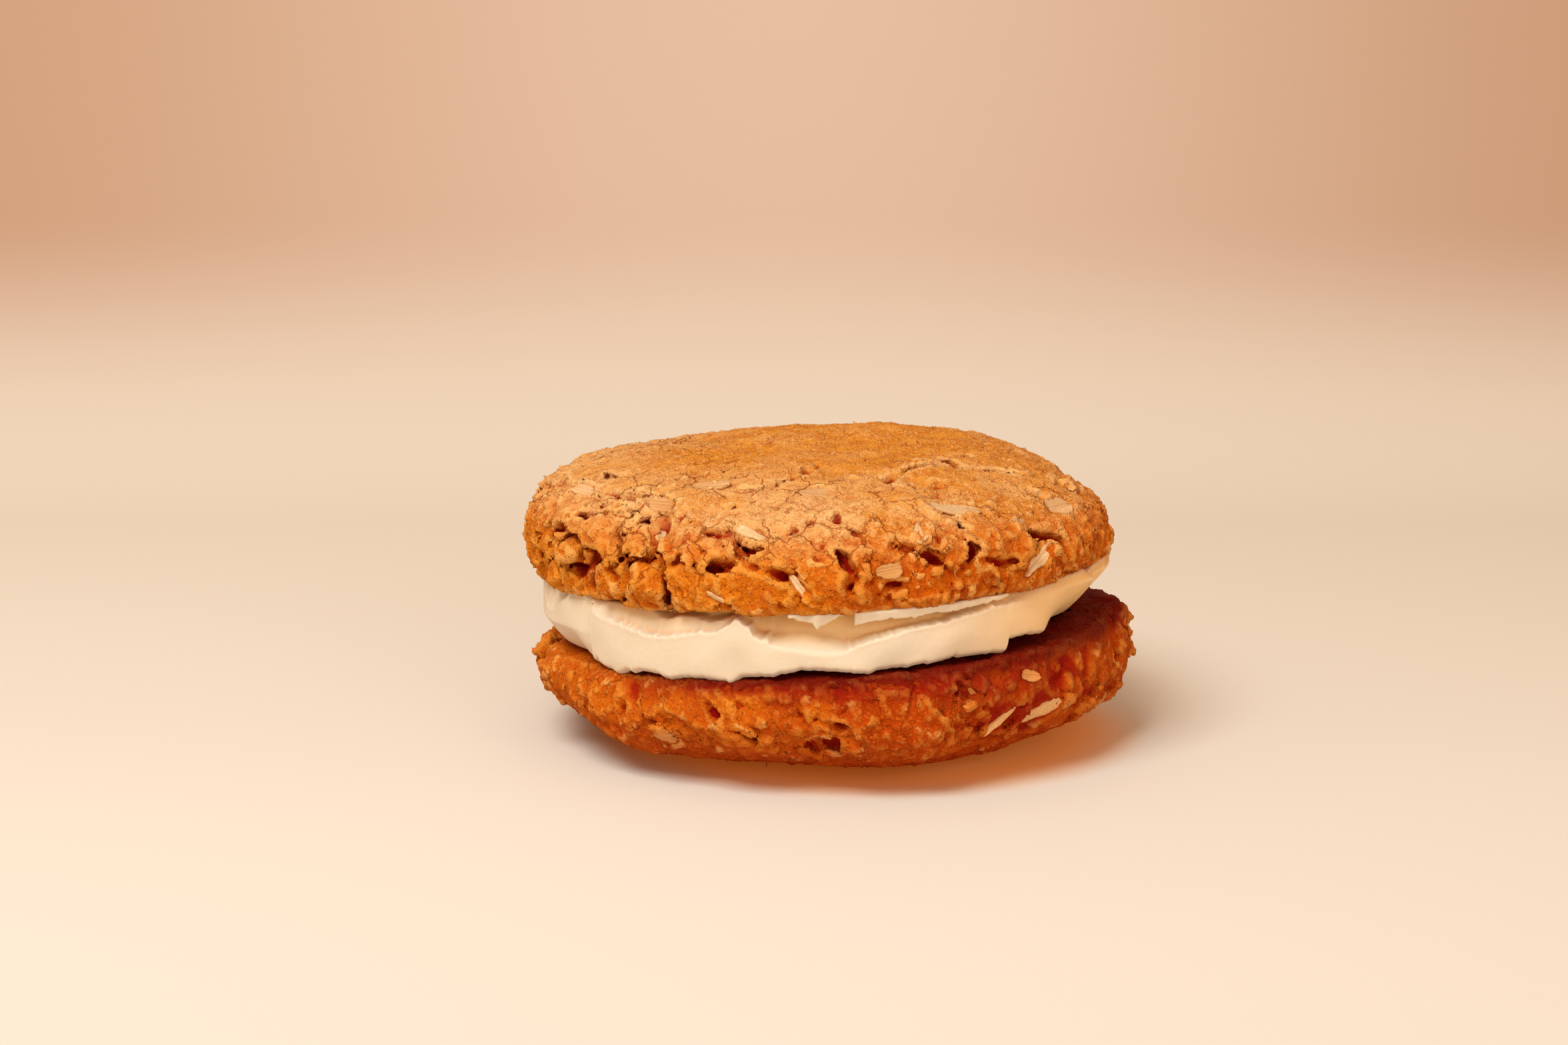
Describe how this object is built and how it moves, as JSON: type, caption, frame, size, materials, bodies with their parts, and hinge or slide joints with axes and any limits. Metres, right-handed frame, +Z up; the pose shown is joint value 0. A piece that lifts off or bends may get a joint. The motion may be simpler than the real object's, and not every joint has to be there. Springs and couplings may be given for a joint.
{
  "type": "oatmeal cream pie",
  "caption": "Craggy round oatmeal cookies, crowns outwards, with a thick ragged band of pale buttercream between their flat sides.",
  "frame": {"origin": "on the table, under the middle of the whole pie's box", "axes": "+Z up; the side seen first in the picture faces -Y; +X to its right"},
  "size_m": [0.0834, 0.0832, 0.0408],
  "materials": {
    "baked_oat_dough": "dry, open crumb with toasted crust and rolled oats",
    "baked_oat_dough_lower": "dry, open crumb, darker and moister under the cream",
    "buttercream": "soft satin, knife-smoothed with ragged edges"
  },
  "bodies": {
    "root": {"top_cookie": "baked_oat_dough", "cream_filling": "buttercream", "bottom_cookie": "baked_oat_dough_lower"}
  },
  "joints": []
}
